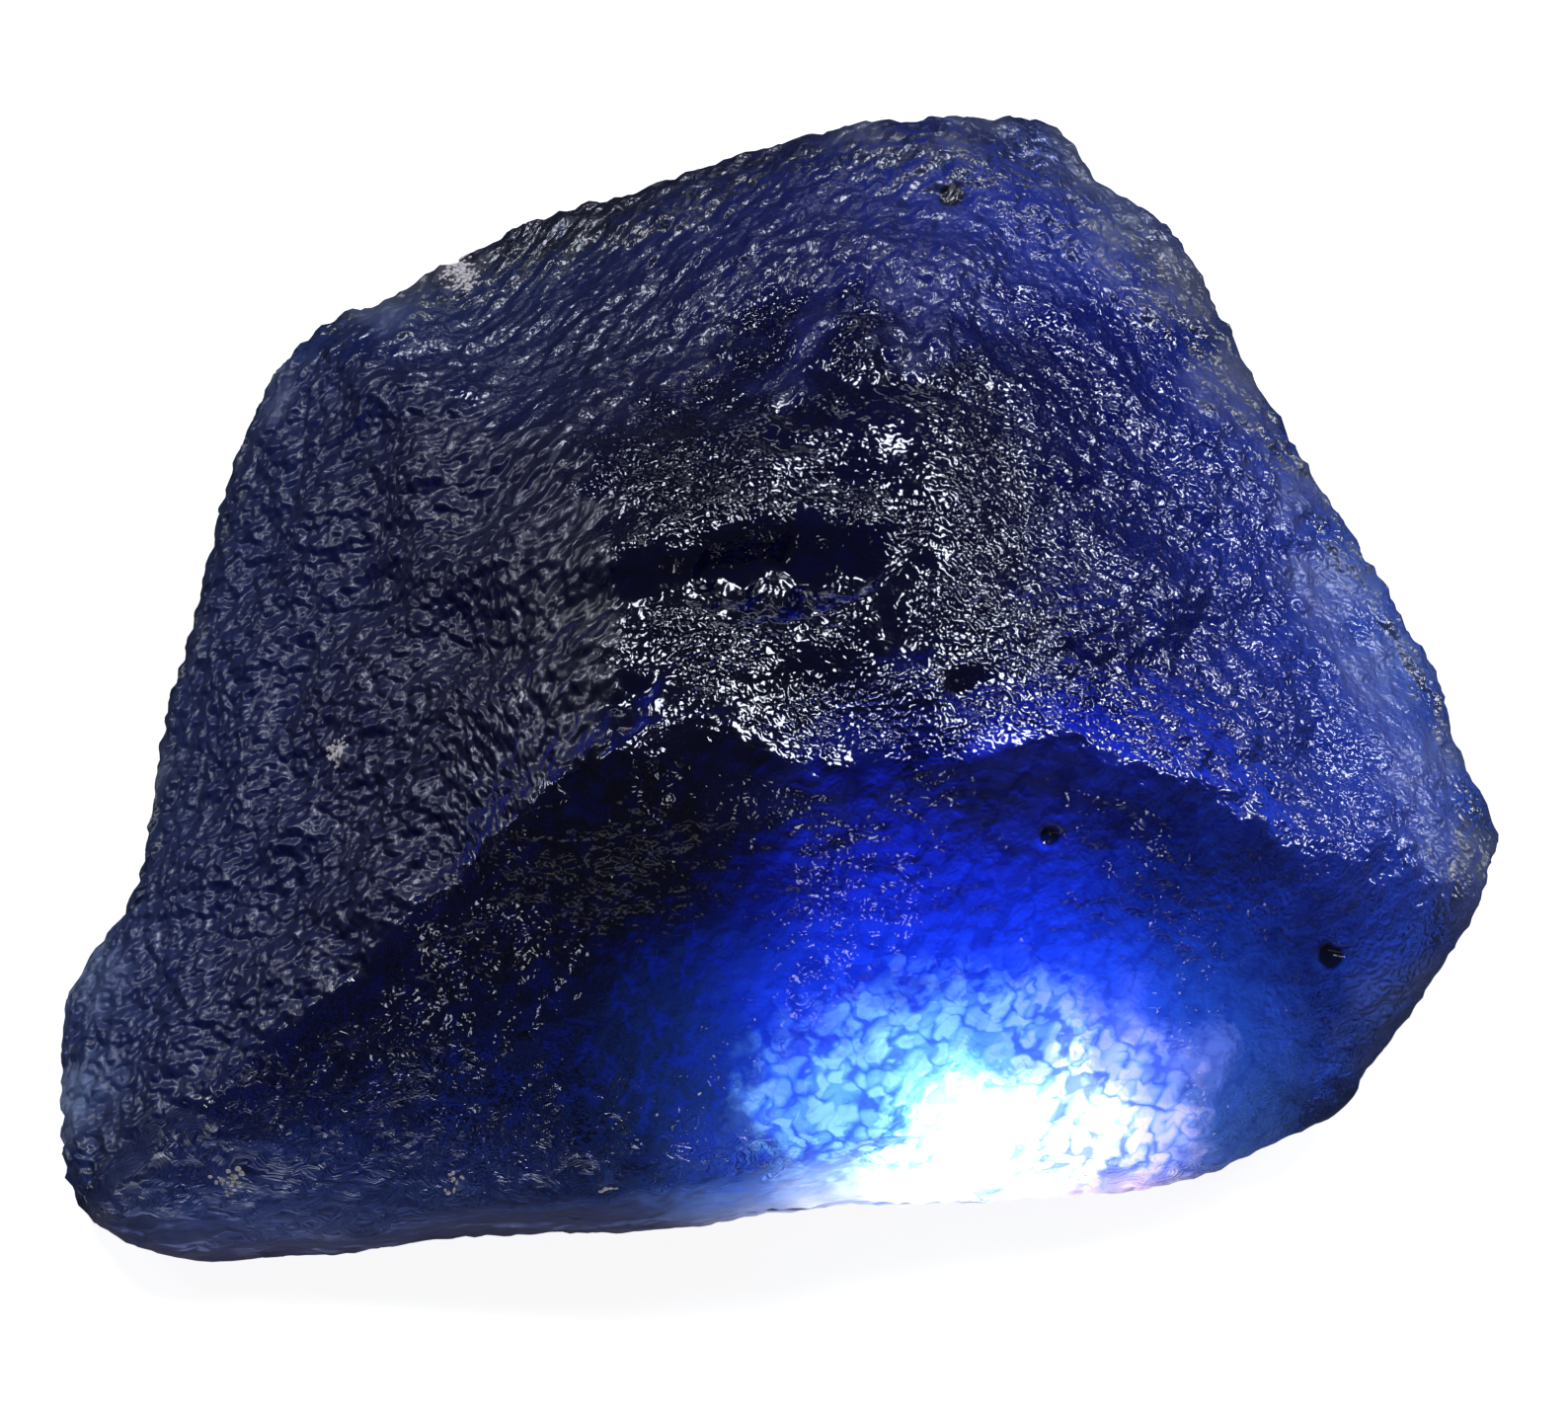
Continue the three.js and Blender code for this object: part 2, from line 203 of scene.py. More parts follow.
def etched_skin():
    """The tree that raises the relief, keeps what the finish reads and sets down the crust's grains."""
    tree = bpy.data.node_groups.new("etched skin", "GeometryNodeTree")
    socket = tree.interface.new_socket
    socket("Solid", in_out="INPUT", socket_type="NodeSocketGeometry")
    sizes = {
        "Softening": 6, "Lump height": 0.24, "Cell size": 0.8, "Cell depth": 0.1, "Grain size": 0.8,
        "Grain depth": 0.2, "Fibre depth": 0.03, "Pit depth": 0.25, "Hollow depth": 0.4,
        "Lip height": 0.5, "Grains of crust": 60.0, "Crust grain size": 0.16,
    }
    for name, value in sizes.items():
        kind = "NodeSocketInt" if isinstance(value, int) else "NodeSocketFloat"
        socket(name, in_out="INPUT", socket_type=kind).default_value = value
    socket("Crystal", in_out="INPUT", socket_type="NodeSocketMaterial")
    socket("Crust", in_out="INPUT", socket_type="NodeSocketMaterial")
    socket("Stone", in_out="OUTPUT", socket_type="NodeSocketGeometry")
    given = add(tree, "NodeGroupInput").outputs

    # The corners of the solid's triangles are softened.
    here = add(tree, "GeometryNodeInputPosition").outputs[0]
    times = {"Iterations": given["Softening"]}
    blurred = add(tree, "GeometryNodeBlurAttribute", times, data_type="FLOAT_VECTOR")
    tree.links.new(here, [s for s in blurred.inputs if s.enabled and s.name == "Value"][0])
    soft_place = [s for s in blurred.outputs if s.enabled][0]
    soft = add(tree, "GeometryNodeSetPosition", {"Geometry": given["Solid"], "Position": soft_place})
    shape = soft.outputs[0]

    # Which face a point is on: the one whose plane it is furthest past.
    past = {}
    for name, points in FACES.items():
        a, b, c = (place(*point) for point in points)
        normal = (b - a).cross(c - a).normalized()
        if normal.dot(a - Vector((0, 0, 4 * MM))) < 0:
            normal.negate()
        outwards = vector(tree, "DOT_PRODUCT", here, normal)
        past[name] = calc(tree, "SUBTRACT", outwards, normal.dot(a))

    def furthest(names):
        best = past[names[0]]
        for name in names[1:]:
            best = calc(tree, "MAXIMUM", best, past[name])
        return best

    flat = vector(tree, "SCALE", here)
    flat.node.inputs["Scale"].default_value = 1 / MM
    wander = calc(tree, "MULTIPLY", noise(tree, flat, 0.6, 3), BORDER_WANDER * MM)
    region = {}
    for name, faces in REGIONS.items():
        others = [face for face in FACES if face not in faces]
        lead = calc(tree, "SUBTRACT", furthest(faces), furthest(others))
        lead = calc(tree, "ADD", lead, wander)
        region[name] = ramp(tree, lead, -BORDER_BLEND * MM, BORDER_BLEND * MM)
    height = add(tree, "ShaderNodeSeparateXYZ", {0: here}).outputs["Z"]
    above = ramp(tree, height, RELIEF_HEIGHTS[0] * MM, RELIEF_HEIGHTS[1] * MM)

    # Marks, as the distance past their edge in millimetres, and far off where the stone faces away from
    # the sheet.
    across = vector(tree, "DOT_PRODUCT", here, Vector((1, 0, 0)))
    up = vector(tree, "DOT_PRODUCT", here, up_sheet)
    on_sheet = add(tree, "ShaderNodeCombineXYZ", {"X": across, "Y": up}).outputs[0]
    facing = vector(tree, "DOT_PRODUCT", add(tree, "GeometryNodeInputNormal").outputs[0], off_sheet)
    hidden = ramp(tree, facing, 0.1, -0.1, 0, 9)

    def past_marks(marks):
        nearest = hidden
        for order, (mark_across, mark_up, radius) in enumerate(marks):
            middle = Vector((mark_across, mark_up, 0)) * MM
            middle += Vector((SHEET_ZERO.x, SHEET_ZERO.dot(up_sheet), 0))
            away = vector(tree, "DISTANCE", on_sheet, middle)
            edge = calc(tree, "SUBTRACT", calc(tree, "MULTIPLY", away, 1 / MM), radius)
            nearest = calc(tree, "MINIMUM", nearest, edge) if order else calc(tree, "ADD", edge, hidden)
        return nearest

    speck = past_marks(BLACK_SPECKS)
    pale = past_marks(CREAM_PATCHES)
    hollow = past_marks(HOLLOWS)
    lip = past_marks(LIPS)
    glint = past_marks(GLINTS)
    frost = past_marks(FROST)
    # Where the torch's glow is painted on the front.
    milk_and_glow = past_marks(MILK_AND_GLOW_MARKS)

    # Lumps and cobbles, in millimetres, on a place in millimetres that is bent by noise.
    bend = add(tree, "ShaderNodeTexNoise", {"Vector": flat, "Scale": 0.9, "Detail": 1.0}).outputs["Color"]
    bend = vector(tree, "SUBTRACT", bend, (0.5, 0.5, 0.5))
    bent = vector(tree, "ADD", flat, vector(tree, "MULTIPLY", bend, (0.9, 0.9, 0.9)))
    lump_height = calc(tree, "MULTIPLY", given["Lump height"], 2)
    lumps = calc(tree, "MULTIPLY", noise(tree, flat, 0.45, 3), lump_height)
    cell_scale = calc(tree, "DIVIDE", 1, given["Cell size"])
    cobbles = ramp(tree, cells(tree, bent, cell_scale, "DISTANCE_TO_EDGE"), 0, 0.3, -1, 0)
    cobbles = calc(tree, "MULTIPLY", cobbles, given["Cell depth"])

    # Grains in patches, and fibres.
    grain_scale = calc(tree, "DIVIDE", 1, given["Grain size"])
    grains = ramp(tree, cells(tree, bent, grain_scale, "SMOOTH_F1"), 0.1, 0.75, 0.4, -0.6)
    grainy = ramp(tree, noise(tree, flat, 0.35, 2), -0.1, 0.15, 0.3, 1.2)
    grains = calc(tree, "MULTIPLY", grains, calc(tree, "MULTIPLY", given["Grain depth"], grainy))
    slope_fibres = noise(tree, stretched(tree, bent, along_slope, 5), 1.6, 3)
    wall_fibres = noise(tree, stretched(tree, bent, along_wall, 4), 1.4, 3)
    fibres = calc(tree, "MULTIPLY", slope_fibres, region["left"])
    fibres = calc(tree, "MULTIPLY_ADD", wall_fibres, region["wall"], fibres)
    fibres = calc(tree, "MULTIPLY", fibres, calc(tree, "MULTIPLY", given["Fibre depth"], 3))

    # The front, the plateau and the hollows are less lumpy, and only the slopes and the back are grained.
    ragged_hollow = calc(tree, "MULTIPLY_ADD", noise(tree, flat, 1.2, 2), 3, hollow)
    lumpy = calc(tree, "MULTIPLY_ADD", region["front"], -0.4, 1)
    lumpy = calc(tree, "MULTIPLY", lumpy, ramp(tree, ragged_hollow, -0.6, 1, 0.5, 1))
    lumpy = calc(tree, "MULTIPLY", lumpy, calc(tree, "MULTIPLY_ADD", region["plateau"], -0.5, 1))
    grained = calc(tree, "MAXIMUM", region["left"], region["back"])
    grained = calc(tree, "MAXIMUM", grained, region["right"])

    # All the relief together, inside the solid's box.
    relief = calc(tree, "MULTIPLY", calc(tree, "ADD", lumps, cobbles), lumpy)
    relief = calc(tree, "MULTIPLY_ADD", grains, grained, relief)
    relief = calc(tree, "ADD", relief, fibres)
    hollows = calc(tree, "MULTIPLY", ramp(tree, ragged_hollow, 0.4, -1), given["Hollow depth"])
    relief = calc(tree, "SUBTRACT", relief, hollows)
    relief = calc(tree, "MULTIPLY_ADD", ramp(tree, lip, 0.8, -0.6), given["Lip height"], relief)
    pits = calc(tree, "MULTIPLY", ramp(tree, speck, 0.1, -0.25), given["Pit depth"])
    relief = calc(tree, "SUBTRACT", relief, pits)
    relief = calc(tree, "MULTIPLY", relief, ramp(tree, above, 0, 1, 0.35, 1))
    relief = calc(tree, "MULTIPLY", relief, MM)
    out = vector(tree, "SCALE", add(tree, "GeometryNodeInputNormal").outputs[0])
    tree.links.new(relief, out.node.inputs["Scale"])
    raised = vector(tree, "ADD", here, out)
    low, high = (Vector(corner) for corner in solid_box)
    raised = vector(tree, "MINIMUM", vector(tree, "MAXIMUM", raised, low), high)

    # Where the skin is matt, and the clusters on the plateau where it is glossy.
    matt = calc(tree, "MAXIMUM", region["left"], region["wall"])
    matt = calc(tree, "MAXIMUM", matt, calc(tree, "MULTIPLY", region["back"], 0.6))
    matt = calc(tree, "MAXIMUM", matt, calc(tree, "MULTIPLY", region["right"], 0.25))
    fine_drift = noise(tree, flat, 0.5, 2)
    clusters = ramp(tree, calc(tree, "MULTIPLY_ADD", fine_drift, 4, glint), 1.2, -0.4, 0, 1.15)
    not_glossy = calc(tree, "SUBTRACT", 1, calc(tree, "MINIMUM", clusters, 1))
    matt = calc(tree, "MULTIPLY", matt, not_glossy)

    # How deep the cells are etched: most in the clusters, on the slopes and on the right shoulder, little
    # on the matt skin and in the hollows, and alike all over the front.
    clusters = calc(tree, "MAXIMUM", clusters, ramp(tree, fine_drift, -0.05, 0.16, 0.25, 0.9))
    clusters = calc(tree, "MULTIPLY", clusters, ramp(tree, ragged_hollow, -0.5, 0.6, 0.15, 1))
    etched = calc(tree, "MAXIMUM", clusters, calc(tree, "MAXIMUM", region["right"], region["back"]))
    etched = calc(tree, "MULTIPLY_ADD", matt, calc(tree, "MULTIPLY", etched, -0.9), etched)
    shoulder = [SHEET_ZERO.x + edge * MM for edge in SHOULDER_ACROSS]
    etched = calc(tree, "MAXIMUM", etched, ramp(tree, across, *shoulder, 0, 0.9))
    to_even = calc(tree, "SUBTRACT", 0.65, etched)
    etched = calc(tree, "MULTIPLY_ADD", region["front"], to_even, etched)
    etched = calc(tree, "MULTIPLY", etched, ramp(tree, speck, 0, 0.3))

    # What the finish reads over the surface.
    frost = ramp(tree, calc(tree, "MULTIPLY_ADD", fine_drift, 5, frost), 1.2, -1.4, 0, 0.8)
    by_plateau = [SHEET_ZERO.x + edge * MM for edge in FIBRED_ACROSS]
    fibred = calc(tree, "MAXIMUM", ramp(tree, across, *by_plateau, 0, 0.8), region["wall"])
    kept = {
        "front": region["front"], "back": calc(tree, "MULTIPLY", region["back"], not_glossy),
        "wall": region["wall"], "fibred": fibred, "matt": matt, "etched": etched,
        "drift": noise(tree, flat, 0.22, 2), "ragged": noise(tree, flat, 1.5, 2),
        # With the marks where the front's glow is painted.
        "speck": speck, "pale": pale, "frost": frost, "milk_and_glow": milk_and_glow,
    }
    for name, value in kept.items():
        store = {"Geometry": shape, "Name": name, "Value": value}
        shape = add(tree, "GeometryNodeStoreNamedAttribute", store).outputs[0]
    moved = add(tree, "GeometryNodeSetPosition", {"Geometry": shape, "Position": raised})
    shaded = add(tree, "GeometryNodeSetShadeSmooth", {"Geometry": moved.outputs[0]})
    clear = {"Geometry": shaded.outputs[0], "Material": given["Crystal"]}
    clear = add(tree, "GeometryNodeSetMaterial", clear)

    # The mineral crust: small grains that sit in the cream patches.
    ragged_pale = calc(tree, "MULTIPLY_ADD", noise(tree, flat, 1.8, 2), 2, pale)
    crusted = calc(tree, "LESS_THAN", ragged_pale, 0)
    density = calc(tree, "DIVIDE", given["Grains of crust"], MM * MM)
    spread = {"Mesh": clear.outputs[0], "Selection": crusted, "Density": density, "Seed": 3}
    spread = add(tree, "GeometryNodeDistributePointsOnFaces", spread)
    grain = {"Radius": calc(tree, "MULTIPLY", given["Crust grain size"], MM / 2), "Subdivisions": 2}
    grain = add(tree, "GeometryNodeMeshIcoSphere", grain)
    size = add(tree, "FunctionNodeRandomValue", {"Seed": 4}, data_type="FLOAT_VECTOR")
    size.inputs["Min"].default_value = (0.5, 0.5, 0.3)
    size.inputs["Max"].default_value = (1.5, 1.2, 0.7)
    set_down = {
        "Points": spread.outputs["Points"], "Instance": grain.outputs["Mesh"],
        "Rotation": spread.outputs["Rotation"], "Scale": size.outputs[0],
    }
    set_down = add(tree, "GeometryNodeInstanceOnPoints", set_down)
    real = add(tree, "GeometryNodeRealizeInstances", {"Geometry": set_down.outputs[0]})
    creamy = add(tree, "GeometryNodeSetMaterial", {"Geometry": real.outputs[0], "Material": given["Crust"]})
    joined = add(tree, "GeometryNodeJoinGeometry")
    for part in (creamy, clear):
        tree.links.new(part.outputs[0], joined.inputs[0])
    add(tree, "NodeGroupOutput", {"Stone": joined.outputs[0]})
    return tree


# The crystal's finish
# Glassy and see-through, deep violet-blue in its thick parts and pale at its thin rims. The left slope and
# the wall are matt and fibrous, and the plateau and the front are glossy, with fine cells that glint.

# The crystal's tint along the stone's length, from left to right: millimetres across, and colour. It is
# partly the crystal's own tint and partly painted glow: the right end and the middle of the front are painted
# a brighter blue where the torch's light spreads through the stone. They go no further out than the reach.
TINT_REACH = 30
TINTS_AND_GLOW = {
    "crown": [
        (-24, (0.06, 0.08, 0.22)), (-9, (0.03, 0.03, 0.1)), (-3, (0.015, 0.015, 0.03)),
        (6, (0.015, 0.015, 0.06)), (11, (0.02, 0.04, 0.3)), (18, (0.11, 0.2, 0.7)), (24, (0.22, 0.34, 0.9)),
    ],
    "back": [
        (-18, (0.08, 0.1, 0.2)), (-6, (0.06, 0.06, 0.12)), (0, (0.07, 0.08, 0.24)),
        (10, (0.12, 0.19, 0.7)), (16, (0.2, 0.3, 0.85)),
    ],
    "front": [
        (-24, (0.04, 0.04, 0.1)), (-16, (0.02, 0.02, 0.05)), (-4, (0.02, 0.02, 0.03)),
        (-1, (0.04, 0.05, 0.2)), (2, (0.1, 0.15, 0.9)), (9, (0.1, 0.15, 0.9)), (14, (0.06, 0.12, 0.4)),
        (22, (0.06, 0.15, 0.4)),
    ],
}
# The wall's tint is partly its own greyer colour and partly painted sheen.
WALL_TINT_AND_SHEEN = (0.32, 0.28, 0.45)
# The cracks on the front: partly the grooves between its cells, partly painted shade in them.
CRACK_AND_SHADE_TINT = (0.02, 0.03, 0.25)
FROST_TINT = (0.75, 0.8, 1)
CREAM_TINT = (0.75, 0.72, 0.7)
SPECK_TINT = (0.003, 0.003, 0.004)

# The glow painted on the front: the colour of its lit cobbles on the left and on the right, where one turns
# into the other in millimetres across, the painted shade of its unlit cobbles, and the painted shade in the
# cracks between them.
GLOW_LEFT, GLOW_RIGHT = (1, 1, 0.72), (1, 0.74, 0.85)
GLOW_TURNS = (5, 10)
GLOW_UNLIT = (0.2, 0.4, 0.78)
GLOW_CRACK_SHADE = (0.03, 0.06, 0.5)

# What the crystal takes out of the light inside it, per metre.
BODY_COLOUR = (0.1, 0.46, 0.84, 1)
BODY_DENSITY = 500.0


def along_length(across):
    """Millimetres across, as the share of the way from one end of the tints' reach to the other."""
    return (across / TINT_REACH + 1) / 2


def crystal():
    """The clear violet-blue crystal, with its tints, painted glow and sheen, and its etched skin."""
    material = bpy.data.materials.new("violet-blue crystal")
    material.use_nodes = True
    tree = material.node_tree
    tree.nodes.clear()

    where = add(tree, "ShaderNodeTexCoord").outputs["Object"]
    flat = vector(tree, "SCALE", where)
    flat.node.inputs["Scale"].default_value = 1 / MM

    def kept(name):
        return add(tree, "ShaderNodeAttribute", attribute_name=name).outputs["Fac"]

    def blend(share, first, second):
        made = add(tree, "ShaderNodeMix", data_type="RGBA")
        for index, value in ((0, share), (6, first), (7, second)):
            if isinstance(value, bpy.types.NodeSocket):
                tree.links.new(value, made.inputs[index])
            else:
                made.inputs[index].default_value = (*value, 1)
        return made.outputs[2]

    def mix_places(share, first, second):
        made = add(tree, "ShaderNodeMix", data_type="VECTOR")
        for index, value in ((0, share), (4, first), (5, second)):
            tree.links.new(value, made.inputs[index])
        return made.outputs[1]

    def along(tints, across):
        made = add(tree, "ShaderNodeValToRGB", {"Fac": across})
        stops = made.color_ramp.elements
        while len(stops) < len(tints):
            stops.new(1)
        for stop, (place_across, tint) in zip(stops, tints):
            stop.position = along_length(place_across)
            stop.color = (*tint, 1)
        return made.outputs["Color"]

    # The tint of each face, partly the crystal's own and partly painted glow and sheen.
    front, wall, matt = kept("front"), kept("wall"), kept("matt")
    across = add(tree, "ShaderNodeSeparateXYZ", {0: flat}).outputs["X"]
    across = calc(tree, "MULTIPLY_ADD", kept("drift"), 9, across)
    across = calc(tree, "MULTIPLY_ADD", across, 0.5 / TINT_REACH, 0.5)
    colour = blend(kept("back"), along(TINTS_AND_GLOW["crown"], across), along(TINTS_AND_GLOW["back"], across))
    colour = blend(wall, colour, WALL_TINT_AND_SHEEN)
    colour = blend(front, colour, along(TINTS_AND_GLOW["front"], across))

    # The glow painted on the front: cobbles painted lit and unlit, with painted shade in the cracks between
    # them, and a painted burnt-out middle without cracks.
    ragged = kept("ragged")
    inside = calc(tree, "MULTIPLY_ADD", ragged, 4, kept("milk_and_glow"))
    milk_and_glow = ramp(tree, inside, 0.8, -1.2)
    glow_core = ramp(tree, inside, -1.8, -3)
    bent = vector(tree, "ADD", flat, calc(tree, "MULTIPLY", ragged, 1.5))
    cobbles = add(tree, "ShaderNodeTexVoronoi", {"Vector": bent, "Scale": 1.7}).outputs
    lit = calc(tree, "MULTIPLY", cobbles["Color"], ramp(tree, cobbles["Distance"], 0.65, 0.3))
    # Painted shade in the cracks at the cobbles' edges, all over the front and darker in the glow.
    crack_shade = ramp(tree, cobbles["Distance"], 0.5, 0.75)
    front_crack_shade = calc(tree, "MULTIPLY", calc(tree, "MULTIPLY", crack_shade, front), 0.6)
    colour = blend(front_crack_shade, colour, CRACK_AND_SHADE_TINT)
    # The painted glow, warm on the left and lilac on the right, with painted shade on the unlit cobbles.
    painted_glow = blend(ramp(tree, across, *map(along_length, GLOW_TURNS)), GLOW_LEFT, GLOW_RIGHT)
    painted_glow = blend(ramp(tree, lit, 0, 0.5), GLOW_UNLIT, painted_glow)
    glow_crack_shade = calc(tree, "MULTIPLY", crack_shade, calc(tree, "SUBTRACT", 1, glow_core))
    colour = blend(milk_and_glow, colour, blend(glow_crack_shade, painted_glow, GLOW_CRACK_SHADE))

    # Frosty rims, cream patches and black specks.
    frosty = calc(tree, "MULTIPLY", kept("frost"), ramp(tree, ragged, -0.3, 0.15, 0.4, 0.9))
    colour = blend(frosty, colour, FROST_TINT)
    pale = ramp(tree, calc(tree, "MULTIPLY_ADD", ragged, 1.5, kept("pale")), 0.3, -0.4)
    colour = blend(calc(tree, "MULTIPLY", pale, 0.8), colour, CREAM_TINT)
    speck = ramp(tree, calc(tree, "MULTIPLY_ADD", ragged, 0.4, kept("speck")), 0.08, -0.08)
    colour = blend(speck, colour, SPECK_TINT)

    roughness = calc(tree, "MULTIPLY_ADD", matt, 0.27, 0.1)
    # Rougher on the frosty rims and where the front's glow is painted.
    dull = calc(tree, "MAXIMUM", milk_and_glow, kept("frost"))
    roughness = calc(tree, "MULTIPLY_ADD", dull, 0.25, roughness)
    roughness = calc(tree, "MULTIPLY_ADD", ragged, 0.1, roughness)

    # Curled etched cells on the glossy faces, and nodules on the matt ones, in millimetres. Towards the
    # plateau and on the wall the nodules are drawn out into fibres.
    cell_ridges = calc(tree, "ABSOLUTE", noise(tree, flat, 2.5, 1))
    cell_depth = calc(tree, "MULTIPLY_ADD", front, -0.12, 0.22)
    cell_depth = calc(tree, "MULTIPLY", cell_depth, kept("etched"))
    slope_place = stretched(tree, flat, along_slope, 3)
    wall_place = stretched(tree, flat, along_wall, 3)
    fibre_place = mix_places(wall, slope_place, wall_place)
    nodules = noise(tree, mix_places(kept("fibred"), flat, fibre_place), 1.6, 1)
    height = calc(tree, "MULTIPLY", cell_ridges, cell_depth)
    height = calc(tree, "MULTIPLY_ADD", nodules, calc(tree, "MULTIPLY", matt, 0.75), height)
    bump = add(tree, "ShaderNodeBump", {"Height": height, "Distance": MM, "Strength": 1.0})

    shader = add(tree, "ShaderNodeBsdfPrincipled", {
        "Base Color": colour, "Roughness": roughness, "Normal": bump.outputs[0],
        "Metallic": 0.0, "IOR": 1.69, "Transmission Weight": 0.9,
    })
    body = add(tree, "ShaderNodeVolumeAbsorption", {"Color": BODY_COLOUR, "Density": BODY_DENSITY})
    add(tree, "ShaderNodeOutputMaterial", {"Surface": shader.outputs[0], "Volume": body.outputs[0]})
    return material


def crust():
    """The cream mineral crust that is left in small patches, dull and finely pitted."""
    material = bpy.data.materials.new("cream crust")
    material.use_nodes = True
    tree = material.node_tree
    where = add(tree, "ShaderNodeTexCoord").outputs["Object"]
    shader = tree.nodes["Principled BSDF"]
    pitted = noise(tree, where, 1.5 / MM, 2)
    bump = add(tree, "ShaderNodeBump", {"Height": pitted, "Distance": 0.3 * MM})
    tree.links.new(bump.outputs[0], shader.inputs["Normal"])
    shader.inputs["Base Color"].default_value = (0.55, 0.5, 0.5, 1)
    shader.inputs["Roughness"].default_value = 0.6
    return material


# The solid's edges are cut this many times, but not those of faces that lie on the table or this near to it.
CUTS = 3
UNSEEN_HEIGHT = 0.1 * MM


def fine_stone():
    """The solid's mesh with its doubles merged, run through the etched skin and made plain."""
    rough = bpy.data.meshes.new("rough_tanzanite")
    merged = bmesh.new()
    merged.from_mesh(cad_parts["rough_stone"].data)
    bmesh.ops.remove_doubles(merged, verts=merged.verts, dist=0.001 * MM)
    seen = [face for face in merged.faces if max(corner.co.z for corner in face.verts) > UNSEEN_HEIGHT]
    edges = list({edge for face in seen for edge in face.edges})
    edges.sort(key=lambda edge: edge.index)
    bmesh.ops.subdivide_edges(merged, edges=edges, cuts=CUTS, use_grid_fill=True)
    merged.to_mesh(rough)
    merged.free()
    rough.materials.clear()
    start = bpy.data.objects.new("start", rough)
    bpy.context.scene.collection.objects.link(start)
    skin = start.modifiers.new("skin", "NODES")
    skin.node_group = etched_skin()
    finishes = {"Crystal": crystal(), "Crust": crust()}
    for item in skin.node_group.interface.items_tree:
        if item.in_out == "INPUT" and item.name in finishes:
            skin[item.identifier] = finishes[item.name]
    graph = bpy.context.evaluated_depsgraph_get()
    plain = bpy.data.meshes.new_from_object(start.evaluated_get(graph), depsgraph=graph)
    bpy.data.objects.remove(start)
    stone = bpy.data.objects.new("tanzanite", plain)
    bpy.context.scene.collection.objects.link(stone)
    return stone


stone = fine_stone()
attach(stone, "root")
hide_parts("rough_stone")


# The table
# A plain pale sheet of board, a hair below the stone. It glows a little, so that it stays as even and bright
# as the photograph's all round the stone.
TABLE_HALF = 1.5
TABLE_DROP = 0.03 * MM
corners = [(x * TABLE_HALF, y * TABLE_HALF, -TABLE_DROP) for x, y in ((-1, -1), (1, -1), (1, 1), (-1, 1))]
table_mesh = bpy.data.meshes.new("table")
table_mesh.from_pydata(corners, [], [(0, 1, 2, 3)])
table = bpy.data.objects.new("table", table_mesh)
bpy.context.scene.collection.objects.link(table)
board = bpy.data.materials.new("pale board")
board.use_nodes = True
board_looks = {
    "Base Color": (0.6, 0.6, 0.61, 1), "Roughness": 0.7,
    "Emission Color": (1, 1, 1, 1), "Emission Strength": 0.91,
}
for socket, value in board_looks.items():
    board.node_tree.nodes["Principled BSDF"].inputs[socket].default_value = value
board.cycles.emission_sampling = "NONE"
table_mesh.materials.append(board)
table.visible_glossy = False


# The light
# A dim room with two windows high behind the stone and small soft lamps round it, which make its glints. A
# torch under the front edge is seen through the stone, as a burnt-out core and a faint halo.
COOL_LIGHT = (0.82, 0.87, 1)
world = bpy.data.worlds.new("room")
bpy.context.scene.world = world
world.use_nodes = True
world.cycles.sampling_method = "NONE"
world.node_tree.nodes["Background"].inputs["Color"].default_value = (0.9, 0.94, 1, 1)
world.node_tree.nodes["Background"].inputs["Strength"].default_value = 0.04


def add_lamp(name, towards, away, width, height, brightness, shape="RECTANGLE"):
    """A flat lamp in a direction from the stone and turned to it, with distance and size in metres."""
    area = width * height * (pi / 4 if shape == "ELLIPSE" else 1)
    light = bpy.data.lights.new(name, "AREA")
    light.shape = shape
    light.size = width
    light.size_y = height
    light.energy = brightness * pi * area
    light.color = COOL_LIGHT
    light.cycles.max_bounces = 2
    lamp = bpy.data.objects.new(name, light)
    lamp.location = Vector(towards).normalized() * away
    lamp.rotation_euler = lamp.location.to_track_quat("Z", "Y").to_euler()
    bpy.context.scene.collection.objects.link(lamp)
    return lamp


add_lamp("window", (0.4, 0.48, 0.78), 0.6, 0.26, 0.12, 20)
add_lamp("left window", (-0.38, 0.52, 0.77), 0.6, 0.16, 0.12, 18)
add_lamp("left lamp", (-0.88, 0.42, 0.3), 0.5, 0.1, 0.1, 11)
add_lamp("right lamp", (0.85, 0.34, 0.4), 0.5, 0.1, 0.1, 17)
add_lamp("front lamp", (0.15, -0.85, 0.5), 0.5, 0.05, 0.05, 6)
add_lamp("low front lamp", (0.1, -1, 0.06), 0.6, 0.5, 0.05, 0.6)
add_lamp("back lamp", (0.1, 0.95, 0.25), 0.6, 0.4, 0.08, 2)


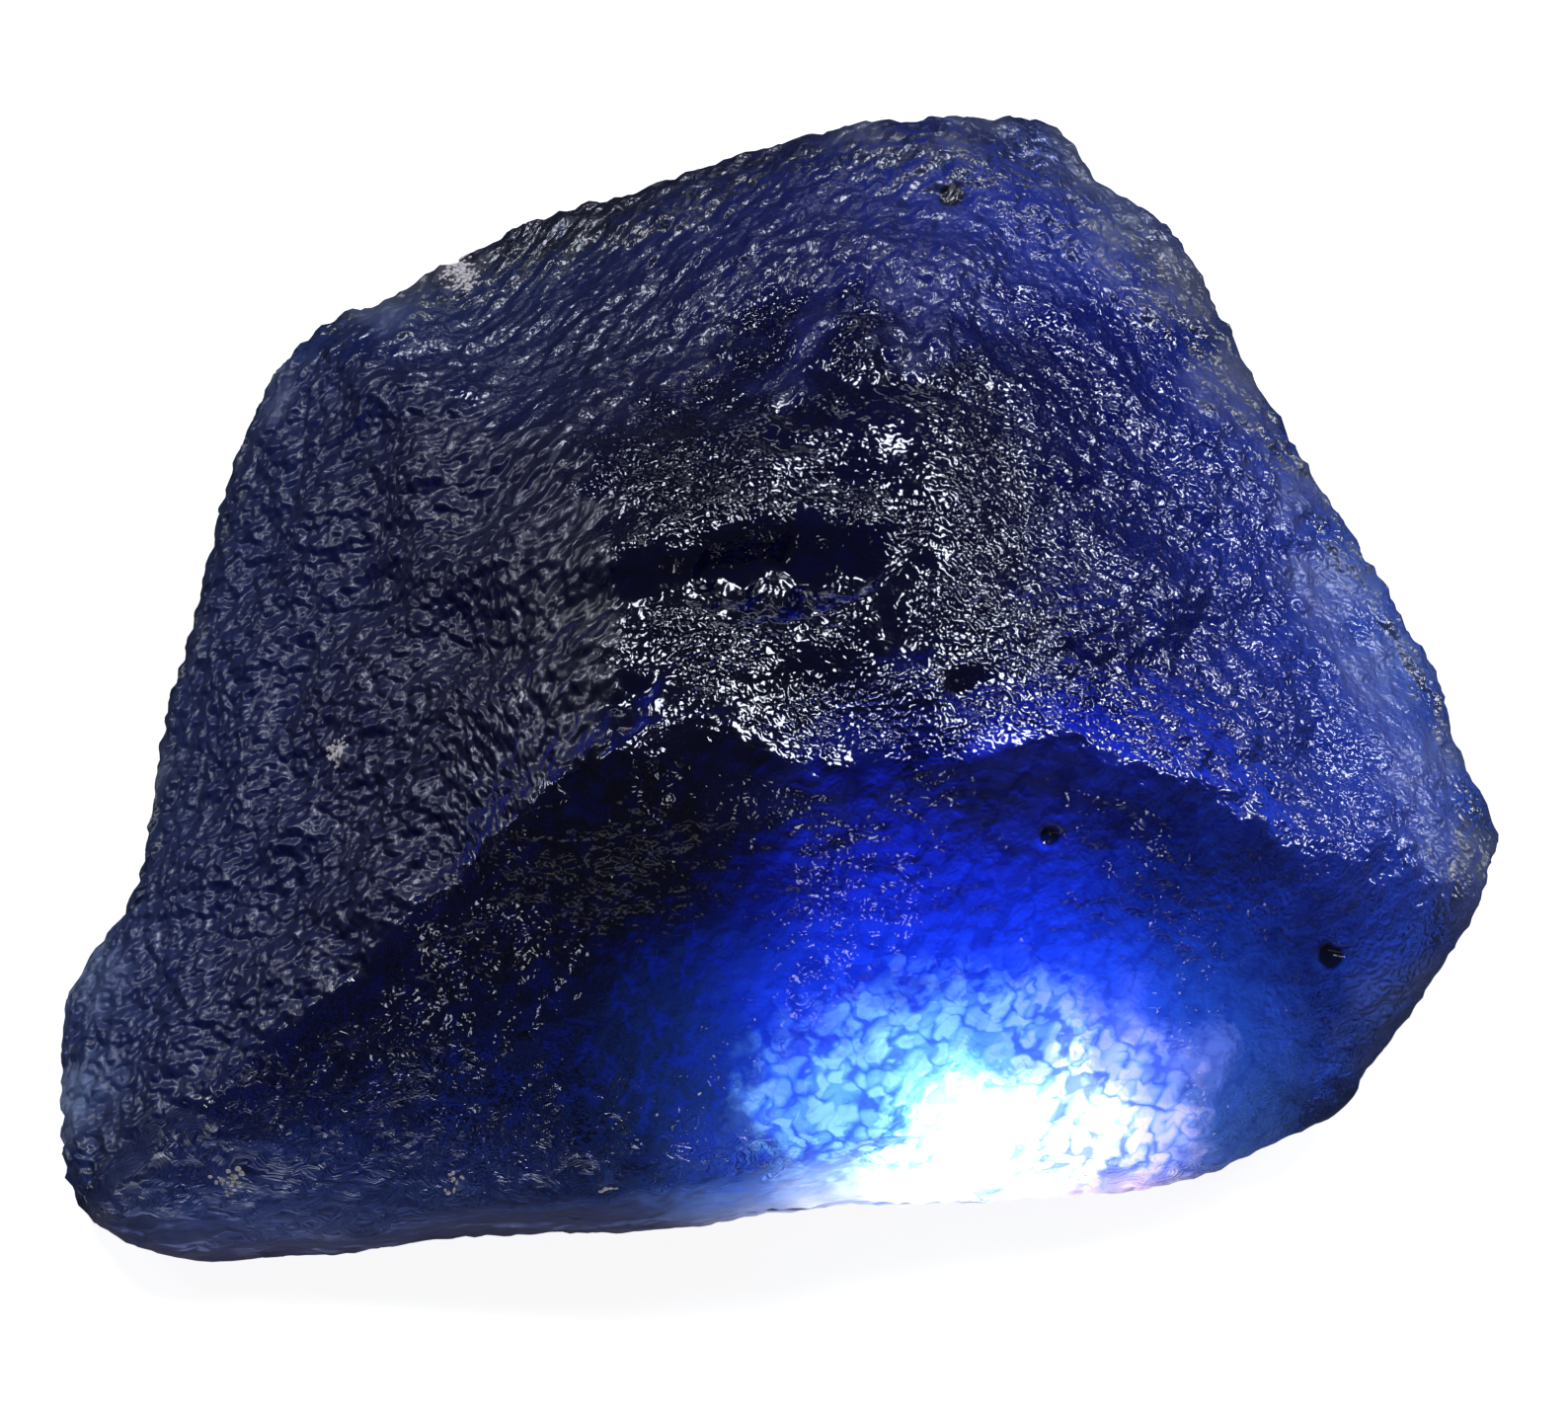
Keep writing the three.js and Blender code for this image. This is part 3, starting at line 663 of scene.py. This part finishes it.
def add_torch(name, middle, facing, width, depth, shades, steps, unrest=0.0):
    """An oval lamp inside the stone, in millimetres, with a shade at its left and one at its right.

    Each step of its light has the reach of its bright middle, the reach where it ends, and its radiance.
    Unrest is how far their borders wander.
    """
    lamp = add_lamp(name, -Vector(facing), 1, width * MM, depth * MM, 1, "ELLIPSE")
    lamp.location = middle
    lamp.visible_camera = False
    lamp.data.color = (1, 1, 1)
    lamp.data.cycles.max_bounces = 4
    lamp.data.use_nodes = True
    tree = lamp.data.node_tree
    at = add(tree, "ShaderNodeNewGeometry").outputs["Position"]
    flat = vector(tree, "SCALE", vector(tree, "SUBTRACT", at, middle))
    flat.node.inputs["Scale"].default_value = 1 / MM
    reach = vector(tree, "LENGTH", vector(tree, "MULTIPLY", flat, (depth / width, 1, 1)))
    if unrest:
        reach = calc(tree, "MULTIPLY_ADD", noise(tree, flat, 0.6, 0), unrest, reach)
    shine = 0
    for inner, outer, brightness in steps:
        shine = calc(tree, "ADD", ramp(tree, reach, outer, inner, 0, brightness), shine)
    tree.links.new(shine, tree.nodes["Emission"].inputs["Strength"])
    rightwards = add(tree, "ShaderNodeSeparateXYZ", {0: flat}).outputs["X"]
    shade = add(tree, "ShaderNodeMix", data_type="RGBA")
    tree.links.new(ramp(tree, rightwards, -2, 4), shade.inputs[0])
    shade.inputs[6].default_value = (*shades[0], 1)
    shade.inputs[7].default_value = (*shades[1], 1)
    tree.links.new(shade.outputs[2], tree.nodes["Emission"].inputs["Color"])


add_torch(
    "torch core", place(6.9, -14.8, 3), (0.1, -0.5, 0.86), 18, 12,
    [(1, 1, 0.58), (1, 0.55, 0.5)], [(1.2, 3.2, 12), (2.8, 6, 2.4)], 4,
)
add_torch("torch halo", place(5.5, -12, 1), (0, 0, 1), 28, 26, [COOL_LIGHT, COOL_LIGHT], [(3, 12, 2.8)])


# The camera
# The photograph's view, from 65 degrees above the table, with a long lens. The photograph's frame is
# 1588 by 1429 pixels, and the sheet's zero shows at pixel 792, 690.
PHOTO_WIDTH = 1588
PHOTO_MIDDLE = (794, 714.5)
SHEET_ZERO_PIXEL = (792, 690)
PIXEL = 0.0343 * MM
camera_data = bpy.data.cameras.new("camera")
camera_data.lens = 800
camera_data.sensor_width = 36
camera_data.clip_end = 5
camera = bpy.data.objects.new("camera", camera_data)
aim = SHEET_ZERO + Vector(((PHOTO_MIDDLE[0] - SHEET_ZERO_PIXEL[0]) * PIXEL, 0, 0))
aim -= up_sheet * (PHOTO_MIDDLE[1] - SHEET_ZERO_PIXEL[1]) * PIXEL
camera.location = aim + off_sheet * PHOTO_WIDTH * PIXEL / camera_data.sensor_width * camera_data.lens
camera.rotation_euler = (pi / 2 - SHEET_LEAN, 0, 0)
bpy.context.scene.collection.objects.link(camera)
bpy.context.scene.camera = camera
bpy.context.scene.view_settings.view_transform = "Standard"
